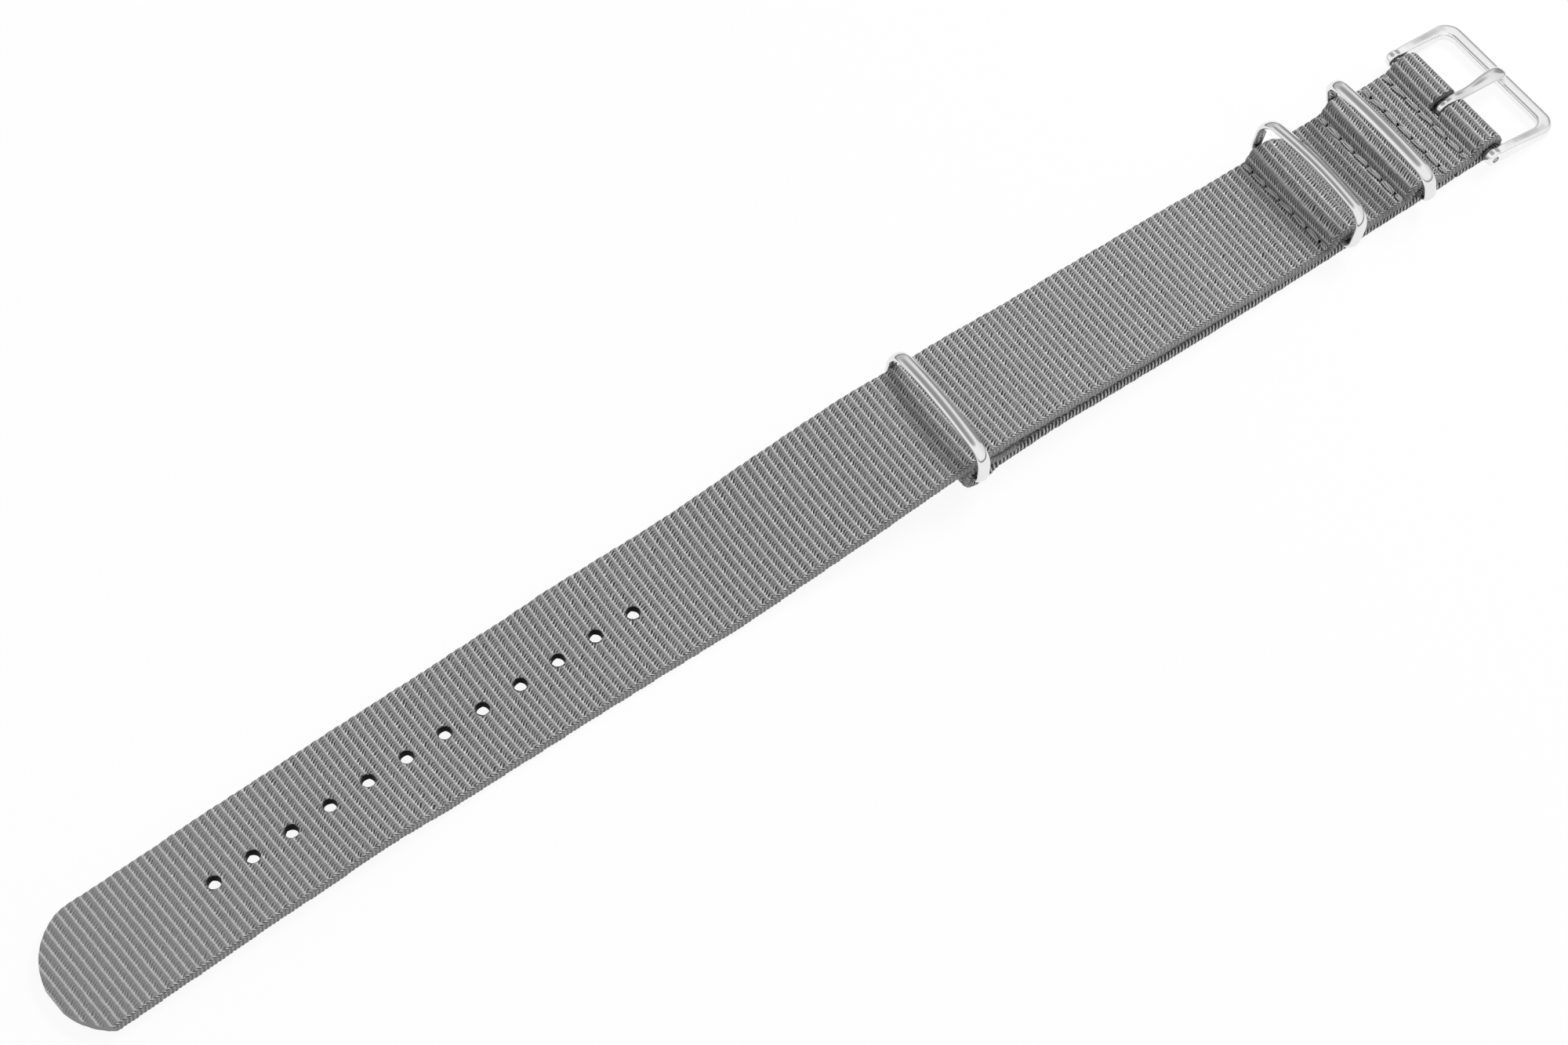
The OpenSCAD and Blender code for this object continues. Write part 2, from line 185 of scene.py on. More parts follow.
def addBump(tree, height, strength, distance):
    node = addNode(tree, "ShaderNodeBump")
    feed(tree, node.inputs["Strength"], strength)
    node.inputs["Distance"].default_value = distance * mm
    link(tree, height, node.inputs["Height"])
    return node.outputs[0]


def addNoise(tree, vector, scale, detail=2.0, rough=0.5):
    node = addNode(tree, "ShaderNodeTexNoise")
    link(tree, vector, node.inputs["Vector"])
    node.inputs["Scale"].default_value = scale
    node.inputs["Detail"].default_value = detail
    node.inputs["Roughness"].default_value = rough
    return node.outputs["Fac"]


world = bpy.data.worlds.new("studioWorld")
bpy.context.scene.world = world
world.use_nodes = True
tree = world.node_tree
tree.nodes.clear()
direction = addNode(tree, "ShaderNodeTexCoord").outputs["Generated"]
compass = addNode(tree, "ShaderNodeSeparateXYZ")
link(tree, direction, compass.inputs[0])
room = addRange(tree, compass.outputs[0], *roomValues["buckleSideFrom"], 1.0, roomValues["buckleSide"])
farSide = addRange(tree, compass.outputs[1], *roomValues["farSideFrom"], 1.0, roomValues["farSide"])
room = addMath(tree, "MULTIPLY", room, farSide)
isPatch = 0.0
for place, (edge, core) in roomValues["patches"]:
    towards = addNode(tree, "ShaderNodeVectorMath", operation="DOT_PRODUCT")
    link(tree, direction, towards.inputs[0])
    towards.inputs[1].default_value = Vector(place).normalized()
    isPatch = addMath(tree, "MAXIMUM", isPatch, addRange(tree, towards.outputs["Value"], edge, core))
room = addMath(tree, "ADD", addMath(tree, "MULTIPLY", room, addMath(tree, "SUBTRACT", 1.0, isPatch)),
               addMath(tree, "MULTIPLY", isPatch, roomValues["patchGrey"]))
isHorizon = addRange(tree, addMath(tree, "ABSOLUTE", compass.outputs[2]), *roomValues["horizonFrom"], 1.0, 0.0)
darker = addMath(tree, "MULTIPLY", isHorizon, 1 - roomValues["horizon"])
room = addMath(tree, "MULTIPLY", room, addMath(tree, "SUBTRACT", 1.0, darker))
ambientLight = addNode(tree, "ShaderNodeBackground")
ambientLight.inputs["Color"].default_value = grey(1)
ambientLight.inputs["Strength"].default_value = roomValues["ambient"]
seenLight = addNode(tree, "ShaderNodeBackground")
lightPath = addNode(tree, "ShaderNodeLightPath")
seenColor = addMix(tree, lightPath.outputs["Is Glossy Ray"], grey(1), addGrey(tree, room))
link(tree, seenColor, seenLight.inputs["Color"])
isSeen = addMath(tree, "ADD", lightPath.outputs["Is Camera Ray"], lightPath.outputs["Is Glossy Ray"], clamp=True)
isSeen = addMath(tree, "ADD", isSeen, lightPath.outputs["Is Transmission Ray"], clamp=True)
worldMix = addNode(tree, "ShaderNodeMixShader")
link(tree, isSeen, worldMix.inputs[0])
link(tree, ambientLight.outputs[0], worldMix.inputs[1])
link(tree, seenLight.outputs[0], worldMix.inputs[2])
link(tree, worldMix.outputs[0], addNode(tree, "ShaderNodeOutputWorld").inputs["Surface"])

bpy.ops.mesh.primitive_plane_add(size=floorValues["size"], location=(0, 0, -floorValues["drop"]))
floor = namedPiece("floor")
floorMaterial = bpy.data.materials.new("paleFloor")
floorMaterial.use_nodes = True
tree = floorMaterial.node_tree
shader = tree.nodes["Principled BSDF"]
shader.inputs["Base Color"].default_value = grey(floorValues["color"])
shader.inputs["Roughness"].default_value = floorValues["rough"]
white = addNode(tree, "ShaderNodeEmission")
lightPath = addNode(tree, "ShaderNodeLightPath")
away = addNode(tree, "ShaderNodeVectorMath", operation="LENGTH")
link(tree, addNode(tree, "ShaderNodeTexCoord").outputs["Object"], away.inputs[0])
mirrored = addRange(tree, away.outputs["Value"], *floorValues["farFrom"], 1.0, floorValues["farGrey"])
whiteColor = addMix(tree, lightPath.outputs["Is Glossy Ray"], grey(1), addGrey(tree, mirrored))
link(tree, whiteColor, white.inputs["Color"])
isSeen = addMath(tree, "ADD", lightPath.outputs["Is Camera Ray"], lightPath.outputs["Is Glossy Ray"], clamp=True)
isSeen = addMath(tree, "MULTIPLY", isSeen, floorValues["white"])
floorMix = addNode(tree, "ShaderNodeMixShader")
link(tree, isSeen, floorMix.inputs[0])
link(tree, shader.outputs[0], floorMix.inputs[1])
link(tree, white.outputs[0], floorMix.inputs[2])
link(tree, floorMix.outputs[0], tree.nodes["Material Output"].inputs["Surface"])
floor.data.materials.append(floorMaterial)
print("camera, floor and light are set")


def newMaterial(name):
    material = bpy.data.materials.new(name)
    material.use_nodes = True
    return material, material.node_tree, material.node_tree.nodes["Principled BSDF"]


def addPulse(tree, phase, centre, inner, outer):  # 1 near centre of a repeating phase, 0 further off
    wrapped = addMath(tree, "FRACT", addMath(tree, "ADD", phase, 0.5 - centre))
    off = addMath(tree, "ABSOLUTE", addMath(tree, "SUBTRACT", wrapped, 0.5))
    return addRange(tree, off, inner, outer, 1.0, 0.0)


# sizes in mm, greys, and places on a rib, which runs from 0 to 1; several greys are painted light and painted
# shade of the ribs and loops
webbingValues = {"ribPitch": 1.247, "ribStart": 0.3, "yarnStep": 0.475, "lean": 0.36, "leanFrom": (0.14, 0.62),
                 "top": 0.25, "shadedTop": 0.215, "shadedFrom": (157, 166), "litFlank": 0.45, "litBead": 0.85,
                 "strand": 0.47, "gapShade": 0.014, "loop": 0.72, "grooveShade": 0.08, "plainness": 0.32, "plainTo": (1, 50),
                 "gapShadeFrom": (0.15, 0.27), "gapShadeFade": (0.52, 0.88), "gapShadeEnd": (0.9, 0.98), "gapShadeSides": (0.07, 0.27),
                 "strandFrom": (0.1, 0.25), "strandFade": (0.5, 0.85), "strandSides": (0.05, 0.36),
                 "litBeadFrom": (0.02, 0.12), "litBeadEnd": (0.26, 0.42), "litFlankAt": 0.08, "litFlankSides": (0.06, 0.22),
                 "grooveShadeAt": 0.97, "grooveShadeSides": (0.015, 0.07), "nearEdge": 9.3, "loopsPerRib": 2,
                 "loopSlant": 0.385, "loopGapShadeSides": (0.08, 0.30), "loopSides": (0.10, 0.40),
                 "bump": 1.0, "bumpDepth": 0.12, "shine": 0.3, "sheen": 0.08}


def makeWebbing():
    v = webbingValues
    material, tree, shader = newMaterial("ribbedWebbing")

    def times(*factors):
        result = factors[0]
        for factor in factors[1:]:
            result = addMath(tree, "MULTIPLY", result, factor)
        return result

    def luckAt(first, second):
        cell = addNode(tree, "ShaderNodeCombineXYZ")
        link(tree, first, cell.inputs[0])
        link(tree, second, cell.inputs[1])
        draw = addNode(tree, "ShaderNodeTexWhiteNoise", noise_dimensions="2D")
        link(tree, cell.outputs[0], draw.inputs["Vector"])
        return draw.outputs["Value"]

    weave = addNode(tree, "ShaderNodeUVMap", uv_map="weave").outputs[0]
    parts = addNode(tree, "ShaderNodeSeparateXYZ")
    link(tree, weave, parts.inputs[0])
    ribAt, acrossAt = parts.outputs[0], parts.outputs[1]
    stretch = addNode(tree, "ShaderNodeMapping")
    link(tree, weave, stretch.inputs[0])
    stretch.inputs["Scale"].default_value = (v["ribPitch"], 1, 1)
    inMm = stretch.outputs[0]
    drift = addMath(tree, "SUBTRACT", addNoise(tree, inMm, 0.8, 1), 0.5)
    jitter = addMath(tree, "SUBTRACT", addNoise(tree, inMm, 2.8, 2), 0.5)
    # one rib goes from its flank towards the buckle, over the dip, to the next top
    cycle = addMath(tree, "MULTIPLY_ADD", jitter, 0.16, addMath(tree, "ADD", ribAt, v["ribStart"]))
    rib = addMath(tree, "FLOOR", cycle)
    phase = addMath(tree, "SUBTRACT", cycle, rib)
    leaning = addRange(tree, phase, *v["leanFrom"], 0.0, v["lean"], "LINEAR")
    shift = times(addMath(tree, "FRACT", times(rib, 0.618)), v["yarnStep"])
    across = addMath(tree, "MULTIPLY_ADD", drift, 0.6, addMath(tree, "MULTIPLY_ADD", jitter, 0.2, acrossAt))
    across = addMath(tree, "ADD", addMath(tree, "SUBTRACT", across, leaning), shift)
    yarn = addMath(tree, "DIVIDE", across, v["yarnStep"])
    gapLuck = luckAt(addMath(tree, "FLOOR", addMath(tree, "ADD", yarn, 0.5)), rib)
    strandLuck = luckAt(addMath(tree, "FLOOR", yarn), rib)
    between = addPulse(tree, yarn, 0.0, *v["gapShadeSides"])
    middle = addPulse(tree, yarn, 0.5, *v["strandSides"])
    # painted shade: the gaps between yarns on the rib's flank that faces away from the key lamp are painted near
    # black, and also sunk in the bump
    gapPhase = addMath(tree, "MULTIPLY_ADD", gapLuck, 0.16, addMath(tree, "SUBTRACT", phase, 0.08))
    gapShade = times(between, addRange(tree, phase, *v["gapShadeFrom"]), addRange(tree, gapPhase, *v["gapShadeFade"], 1.0, 0.2),
                addRange(tree, phase, *v["gapShadeEnd"], 1.0, 0.0), addMath(tree, "MULTIPLY_ADD", gapLuck, 0.6, 0.6))
    # the strands between the gaps are painted lighter than the webbing: painted light on the yarn tops that face
    # the lamps
    strand = times(middle, addRange(tree, phase, *v["strandFrom"]),
                   addRange(tree, phase, *v["strandFade"], 1.0, 0.15),
                   addMath(tree, "MULTIPLY_ADD", strandLuck, 0.8, 0.4))
    # painted highlight: bright beads along the crest where the strands catch the key lamp, painted near white and
    # also raised in the bump
    litBead = times(addPulse(tree, yarn, 0.5, 0.03, addRange(tree, phase, 0.1, 0.36, 0.44, 0.20)),
                 addRange(tree, phase, *v["litBeadFrom"]), addRange(tree, phase, *v["litBeadEnd"], 1.0, 0.0),
                 addRange(tree, strandLuck, 0.1, 0.9, 0.35, 1.0))
    # painted highlight: the flank of each rib that faces the key lamp is painted a lighter grey, and raised a
    # little in the bump
    litFlank = addPulse(tree, phase, v["litFlankAt"], *v["litFlankSides"])
    # painted shade: a thin dark line along the groove between ribs
    grooveShade = times(addPulse(tree, phase, v["grooveShadeAt"], *v["grooveShadeSides"]),
                 addRange(tree, addNoise(tree, inMm, 1.7, 2), 0.45, 0.6))
    # the near selvedge is a row of slanted loops; their tops are painted lighter as a painted highlight, and the
    # dips between them are painted near black as painted shade
    beyond = addMath(tree, "SUBTRACT", addMath(tree, "MULTIPLY", acrossAt, -1.0), v["nearEdge"])
    isEdge = addRange(tree, beyond, -0.12, 0.06)
    inside = addMath(tree, "SUBTRACT", 1.0, isEdge)
    loopPhase = times(addMath(tree, "MULTIPLY_ADD", beyond, -v["loopSlant"], cycle), v["loopsPerRib"])
    loopGapShade = times(addPulse(tree, loopPhase, 0.0, *v["loopGapShadeSides"]), isEdge,
                    addRange(tree, beyond, 0.0, 0.6, 0.75, 1.0), addRange(tree, beyond, 0.85, 1.05, 1.0, 0.3))
    loop = times(addPulse(tree, loopPhase, 0.5, *v["loopSides"]), isEdge,
                 addRange(tree, beyond, 0.65, 0.9, 1.0, 0.1))
    # the pattern is plainer near the tip
    contrast = addRange(tree, ribAt, *v["plainTo"], v["plainness"], 1.0)
    patchy = addRange(tree, addNoise(tree, inMm, 0.9, 3), 0.32, 0.66, 0.55, 1.0)
    gapShade = addMath(tree, "MULTIPLY", times(gapShade, contrast, patchy, inside), 1.25, clamp=True)
    strand = addMath(tree, "MULTIPLY", times(strand, contrast), inside, clamp=True)
    litBead = addMath(tree, "MULTIPLY", times(litBead, contrast), inside, clamp=True)
    litFlank = times(litFlank, inside, addRange(tree, ribAt, 10, 60, 1.0, 0.85))
    fibre = addNoise(tree, inMm, 7.5, 3, 0.75)
    # painted shade: from rib 157 on towards the buckle, where the keepers and folds shade the webbing, its grey is
    # painted darker
    tone = times(addRange(tree, fibre, 0.25, 0.75, 0.68, 1.38, "LINEAR"),
                 addRange(tree, ribAt, *v["shadedFrom"], v["top"], v["shadedTop"]))
    color = addMix(tree, times(litFlank, 0.85), addGrey(tree, tone), grey(v["litFlank"]))
    color = addMix(tree, times(strand, 0.8), color, grey(v["strand"]))
    color = addMix(tree, times(loop, 0.9), color, grey(v["loop"]))
    color = addMix(tree, litBead, color, grey(v["litBead"]))
    color = addMix(tree, times(grooveShade, 0.4), color, grey(v["grooveShade"]))
    color = addMix(tree, gapShade, color, grey(v["gapShade"]))
    color = addMix(tree, loopGapShade, color, grey(v["gapShade"]))
    link(tree, color, shader.inputs["Base Color"])
    height = addMath(tree, "MULTIPLY_ADD", strand, 0.5, times(litFlank, 0.2))
    height = addMath(tree, "SUBTRACT", height, gapShade)
    height = addMath(tree, "MULTIPLY_ADD", litBead, 0.3, height)
    height = addMath(tree, "MULTIPLY_ADD", fibre, 0.3, height)
    height = addMath(tree, "MULTIPLY_ADD", loop, 0.7, height)
    height = addMath(tree, "SUBTRACT", height, loopGapShade)
    link(tree, addBump(tree, height, v["bump"], v["bumpDepth"]), shader.inputs["Normal"])
    link(tree, addRange(tree, fibre, 0.2, 0.8, 0.42, 0.62, "LINEAR"), shader.inputs["Roughness"])
    shader.inputs["Specular IOR Level"].default_value = v["shine"]
    shader.inputs["Sheen Weight"].default_value = v["sheen"]
    return material


def makeScratches():  # fine marks that a polished or drawn metal shows
    group = bpy.data.node_groups.new("fineMarks", "ShaderNodeTree")
    for name, low, high, start in (("Scale", 0, 9000, 900), ("Depth", 0, 1, 0.05), ("Shine", 0, 1, 0.08)):
        socket = group.interface.new_socket(name, in_out="INPUT", socket_type="NodeSocketFloat")
        socket.min_value, socket.max_value, socket.default_value = low, high, start
    group.interface.new_socket("Roughness", in_out="OUTPUT", socket_type="NodeSocketFloat")
    group.interface.new_socket("Normal", in_out="OUTPUT", socket_type="NodeSocketVector")
    given = addNode(group, "NodeGroupInput")
    place = addNode(group, "ShaderNodeTexCoord").outputs["Object"]
    stretched = addNode(group, "ShaderNodeMapping")
    link(group, place, stretched.inputs[0])
    stretched.inputs["Scale"].default_value = (1, 0.12, 1)
    marks = addNode(group, "ShaderNodeTexNoise")
    link(group, stretched.outputs[0], marks.inputs["Vector"])
    link(group, given.outputs["Scale"], marks.inputs["Scale"])
    marks.inputs["Detail"].default_value = 4
    cloud = addNoise(group, place, 260, 2)
    wear = addMath(group, "ADD", addMath(group, "MULTIPLY", marks.outputs["Fac"], 0.5),
                   addMath(group, "MULTIPLY", cloud, 0.8))
    bump = addBump(group, marks.outputs["Fac"], given.outputs["Depth"], 0.02)
    result = addNode(group, "NodeGroupOutput")
    link(group, addMath(group, "MULTIPLY", wear, given.outputs["Shine"]), result.inputs["Roughness"])
    link(group, bump, result.inputs["Normal"])
    return group


fineMarks = makeScratches()


def makeMetal(name, tone, scale, depth, shine, metallic=1.0):
    material, tree, shader = newMaterial(name)
    marks = addNode(tree, "ShaderNodeGroup", node_tree=fineMarks)
    marks.inputs["Scale"].default_value = scale
    marks.inputs["Depth"].default_value = depth
    marks.inputs["Shine"].default_value = shine
    shader.inputs["Metallic"].default_value = metallic
    place = addNode(tree, "ShaderNodeTexCoord").outputs["Object"]
    tint = addMix(tree, addNoise(tree, place, 180, 2), grey(tone * 0.93), grey(tone * 1.05))
    link(tree, tint, shader.inputs["Base Color"])
    link(tree, marks.outputs["Roughness"], shader.inputs["Roughness"])
    link(tree, marks.outputs["Normal"], shader.inputs["Normal"])
    return material


def makeThread():
    material, tree, shader = newMaterial("glossyThread")
    place = addNode(tree, "ShaderNodeTexCoord").outputs["Object"]
    fibre = addNoise(tree, place, 5200, 3, 0.6)
    link(tree, addMix(tree, fibre, grey(0.30), grey(0.62)), shader.inputs["Base Color"])
    link(tree, addRange(tree, fibre, 0.2, 0.8, 0.25, 0.45, "LINEAR"), shader.inputs["Roughness"])
    link(tree, addBump(tree, fibre, 0.3, 0.03), shader.inputs["Normal"])
    return material


def makeMelted(name, dark, light, shine):
    material, tree, shader = newMaterial(name)
    shader.inputs["Specular IOR Level"].default_value = shine
    place = addNode(tree, "ShaderNodeTexCoord").outputs["Object"]
    cloud = addNoise(tree, place, 2600, 4, 0.6)
    spots = addRange(tree, cloud, 0.4, 0.6)
    link(tree, addMix(tree, spots, grey(dark), grey(light)), shader.inputs["Base Color"])
    link(tree, addRange(tree, cloud, 0.3, 0.7, 0.35, 0.7, "LINEAR"), shader.inputs["Roughness"])
    link(tree, addBump(tree, cloud, 0.5, 0.08), shader.inputs["Normal"])
    return material


ribbedWebbing = makeWebbing()
polishedSteel = makeMetal("polishedSteel", tone=0.83, scale=1500, depth=0.04, shine=0.18)
satinSteel = makeMetal("satinSteel", tone=0.93, scale=1500, depth=0.03, shine=0.16, metallic=0.9)
# a darker drawn steel for the spring bar, painted darker still as painted shade inside the ear holes where its
# tips show
shadedDrawnSteel = makeMetal("shadedDrawnSteel", tone=0.45, scale=3000, depth=0.25, shine=0.42)
glossyThread = makeThread()
# near black: the melted nylon of the hole walls and the tip's edge, painted darker still as painted shade inside
# the holes
meltedNylonAndShade = makeMelted("meltedNylonAndShade", dark=0.002, light=0.006, shine=0.05)
cutNylon = makeMelted("cutNylon", dark=0.10, light=0.26, shine=0.2)
meltedRim = makeMelted("meltedRim", dark=0.02, light=0.28, shine=0.3)
print("materials are made")


# the long webbing's route, in mm from the bar: its lower face's heights, the fold, the twist in mm
# from edge to edge, and how far its tail bows aside
longRoute = {
    "heights": [(-242.4, 0), (-229.1, 0), (-212.9, 0.7), (-187.8, 0), (-162.75, 0.2), (-137.7, 0.7), (-117, 3.1),
                (-97.9, 4.996), (-92.9, 4.996), (-72.9, 3.75), (-50.9, 2.6), (-31, 1.35), (-30, 1.35),
                (-28.3, 3.35), (-26.1, 3.35), (-22.6, 1.35), (-16.7, 1.35), (-15.7, 1.35), (-13.6, 3.35),
                (-11.4, 3.35), (-8.2, 1.35), (-7.2, 1.35), (-4.1, 1.35), (-3.1, 1.35), (-0.3, 3.0), (1.0, 3.0)],
    "foldAt": (1.0, 2.15), "foldRadius": 1.5, "tipX": -242.4, "endX": -5.98,
    "twist": [(-243, 0.6), (-232.9, 0.8), (-214.9, 1.1), (-202.9, 1.1), (-196.9, 1.4), (-190.9, 1.2),
              (-184.9, 0.4), (-172.9, 0), (-160.9, -0.55), (-154.9, -1.1), (-136.9, -1.4), (-124.9, -1.65),
              (-115, -1.95), (-104, -1.5), (-98, -0.6), (-92, 0)],
    "bow": 1.4, "bowFrom": -94.9, "bowTo": -242.4}
shortRoute = {
    "under": [(-94.9, 0), (-93.9, 0), (-90.5, 1.3), (-87.6, 1.3), (-82.9, 1.6), (-72.9, 1.15), (-54.9, 0.3),
              (-38.5, 0), (-6.1, 0)],
    "back": [(-94.9, 3.646), (-94.1, 3.646), (-90.5, 2.65), (-89.5, 2.65), (-87.6, 2.65)],
    "foldAt": (-94.9, 2.4731), "foldRadius": 1.823, "startX": -6.02, "endX": -87.6}
rowsAt = (-3.6, -7.7, -16.2, -30.5, -90.0)  # the five rows of stitches


def heightCurve(points):  # the same smooth curve as the solids have
    xs = [p[0] for p in points]
    rises = [(b[1] - a[1]) / (b[0] - a[0]) for a, b in zip(points, points[1:])]
    slopes = [rises[0]]
    for a, b in zip(rises, rises[1:]):
        slopes.append(0 if a * b <= 0 else 2 * a * b / (a + b))
    slopes.append(rises[-1])

    def height(x):
        i = min(max(int(np.searchsorted(xs, x)) - 1, 0), len(points) - 2)
        d = xs[i + 1] - xs[i]
        t = min(max((x - xs[i]) / d, 0), 1)
        u = 1 - t
        return (u * u * (1 + 2 * t) * points[i][1] + t * t * (1 + 2 * u) * points[i + 1][1]
                + t * u * d * (u * slopes[i] - t * slopes[i + 1]))
    return height


longHeight = heightCurve(longRoute["heights"])


def longBow(x):
    share = min(max((longRoute["bowFrom"] - x) / (longRoute["bowFrom"] - longRoute["bowTo"]), 0), 1)
    return longRoute["bow"] * max(0, math.sin(math.pi * share)) ** 1.3


def longTwist(x):
    xs, ts = zip(*longRoute["twist"])
    return -float(np.interp(x, xs, ts))


def longLift(x):  # keeps the lower edge of a twisted stretch on the table
    return max(0.0, abs(longTwist(x)) / 2 - longHeight(x))


def lineOf(xs, height):
    return [(x, height(x) + webThick / 2) for x in xs]


def halfRound(centre, radius, start, sweep, count=24):
    return [(centre[0] + radius * math.cos(math.radians(start + sweep * i / count)),
             centre[1] + radius * math.sin(math.radians(start + sweep * i / count))) for i in range(count + 1)]


routeStep = 0.1  # between the points of a route, in mm
longLine = (lineOf(np.arange(longRoute["tipX"], longRoute["foldAt"][0], routeStep), longHeight)
            + halfRound(longRoute["foldAt"], longRoute["foldRadius"], 90, -180)
            + [(x, webThick / 2) for x in np.arange(0.9, longRoute["endX"] - routeStep / 2, -routeStep)])
shortUnder, shortBack = heightCurve(shortRoute["under"]), heightCurve(shortRoute["back"])
shortLine = (lineOf(np.arange(shortRoute["startX"], shortRoute["foldAt"][0], -routeStep), shortUnder)
             + halfRound(shortRoute["foldAt"], shortRoute["foldRadius"], 270, -180)
             + lineOf(np.arange(-94.8, shortRoute["endX"] + routeStep / 2, routeStep), shortBack))

# in mm; drift, skew and arch give each rib's place along, its slant and its bow, in ribs, as (rib, amount)
weaveShape = {"half": 0.58, "edgeRound": 0.58, "edgeAt": 9.37, "edgeRelief": 0.7, "loopRelief": 0.06,
              "loopLift": 0.3, "grid": 0.1, "blur": 5, "wander": 0.03, "swell": 0.15, "uneven": 0.04,
              "upperFrom": 0.9, "stitchHalf": 0.32, "stitchDip": 0.14, "stitchDipBelow": 0.35, "clear": 0.02,
              "profile": [-0.08, -0.035, 0.01, 0.035, 0.045, 0.043, 0.03, -0.02],
              "drift": [(0, 0.24), (24, 0.43), (40, -0.04), (58, 0.08), (70, -0.02), (84, 0.14), (106, 0.38),
                        (112, 0.31), (124, 0.39), (133, 0.29), (154, 0.49), (166, 0.78), (172, 0.92)],
              "skew": [(0, -0.024), (34, -0.018), (58, -0.004), (88, 0.007), (112, 0), (136, 0.009), (148, 0),
                       (160, 0.02)],
              "arch": [(28, 0), (36, 0.0022), (100, 0.0022), (112, 0.0012), (150, 0.0006)]}


def crossColumns():  # round the webbing: across, out of the plane, distance from the middle, direction of a bulge
    r = weaveShape["edgeRound"]
    columns = []
    for side, inner in ((1, (0, 1.1, 2.2, 3.3, 4.4, 5.5, 6.5, 7.4, 8.1, 8.6, 9.0, weaveShape["edgeAt"])),
                        (-1, (0, 2.2, 4.4, 6.5, 8.1, weaveShape["edgeAt"]))):
        ys = [-y * side for y in reversed(inner)] + [y * side for y in inner[1:]]
        for y in ys:
            columns.append((y, side * weaveShape["half"], abs(y), (0, side)))
        for angle in (60, 30, 0, -30, -60):
            a = math.radians(angle) * side
            distance = weaveShape["edgeAt"] + r * (math.pi / 2 - abs(a) if a * side > 0 else math.pi / 2 + abs(a))
            columns.append((side * (weaveShape["edgeAt"] + r * math.cos(a)), r * math.sin(a), distance,
                            (side * math.cos(a), math.sin(a))))
    return columns


def layWebbing(name, line, bow, twist, lift, seed, drifts):
    shape = weaveShape
    line = np.array(line)
    steps = np.linalg.norm(np.diff(line, axis=0), axis=1)
    length = np.concatenate([[0], np.cumsum(steps)])
    fine = np.arange(0, length[-1], shape["grid"])
    smooth = np.stack([np.interp(fine, length, line[:, i]) for i in (0, 1)], 1)
    kernel = np.ones(shape["blur"]) / shape["blur"]
    for i in (0, 1):
        padded = np.concatenate([smooth[:1, i]] * 2 + [smooth[:, i]] + [smooth[-1:, i]] * 2)
        smooth[:, i] = np.convolve(padded, kernel, "valid")
    tangent = np.gradient(smooth, axis=0)
    tangent /= np.linalg.norm(tangent, axis=1)[:, None]
    ribs = int(round(length[-1] / webbingValues["ribPitch"]))
    pitch = length[-1] / ribs
    columns = crossColumns()
    draw = random.Random(seed)
    profile = shape["profile"]

    def tableAt(name, rib):
        return float(np.interp(rib, *zip(*shape[name]))) if drifts else 0

    points, uvs = [], []
    rowCount = 0
    for rib in range(-2, ribs + 1):
        wander = [draw.uniform(-shape["wander"], shape["wander"]) for _ in columns]
        swell = draw.uniform(1 - shape["swell"], 1 + shape["swell"])
        uneven = draw.uniform(-shape["uneven"], shape["uneven"])
        for step, proud in enumerate(profile):
            at = rib + step / len(profile)
            middle = (at + tableAt("drift", at)) * pitch
            if middle < 0 or middle > length[-1]:
                continue
            rowCount += 1
            skew, arch = tableAt("skew", at), tableAt("arch", at)
            for c, (y, n, distance, (ny, nn)) in enumerate(columns):
                along = min(max(middle + (skew + arch * y) * y * pitch + wander[c], 0), fine[-1])
                x = np.interp(along, fine, smooth[:, 0])
                z = np.interp(along, fine, smooth[:, 1])
                tx = np.interp(along, fine, tangent[:, 0])
                tz = np.interp(along, fine, tangent[:, 1])
                beyond = distance - webbingValues["nearEdge"]
                if y < 0 and beyond > 0:
                    turn = webbingValues["loopsPerRib"] * (at + webbingValues["ribStart"]
                                                           - webbingValues["loopSlant"] * beyond)
                    depth = uneven - shape["loopRelief"] * math.cos(2 * math.pi * turn) + shape["loopLift"] * proud
                elif beyond > 0:
                    depth = uneven + proud * swell * shape["edgeRelief"]
                else:
                    depth = proud * swell
                nearRow = max(math.exp(-((x - row) / shape["stitchHalf"]) ** 2) for row in rowsAt[:4])
                if nn > 0.5:  # the threads pull the webbing in
                    depth -= shape["stitchDip" if z > shape["upperFrom"] else "stitchDipBelow"] * nearRow
                yy = y + ny * depth
                out = n + nn * depth
                px = x - tz * out
                pz = z + tx * out
                py = yy + (bow(x) if bow else 0)
                if twist:
                    pz += twist(x) * yy / 20 + lift(x)
                points.append(((px + barX) * mm, py * mm, max(pz, shape["clear"]) * mm))
                uvs.append((at, math.copysign(distance, y) if y else 0.0))
    width = len(columns)
    faces = [(r * width + c, (r + 1) * width + c, (r + 1) * width + (c + 1) % width, r * width + (c + 1) % width)
             for r in range(rowCount - 1) for c in range(width)]
    faces.append(tuple(range(width)))
    faces.append(tuple((rowCount - 1) * width + c for c in reversed(range(width))))
    piece = meshPiece(name, points, faces)
    layer = piece.data.uv_layers.new(name="weave")
    flat = np.array(uvs)[np.array([loop.vertex_index for loop in piece.data.loops])]
    layer.data.foreach_set("uv", flat.ravel())
    return piece, length[-1]


longWebbing, longLength = layWebbing("longWebbing", longLine, longBow, longTwist, longLift, 3, True)
shortWebbing, shortLength = layWebbing("shortWebbing", shortLine, None, None, None, 8, False)
print("webbings are laid: %.1f and %.1f mm" % (longLength, shortLength))

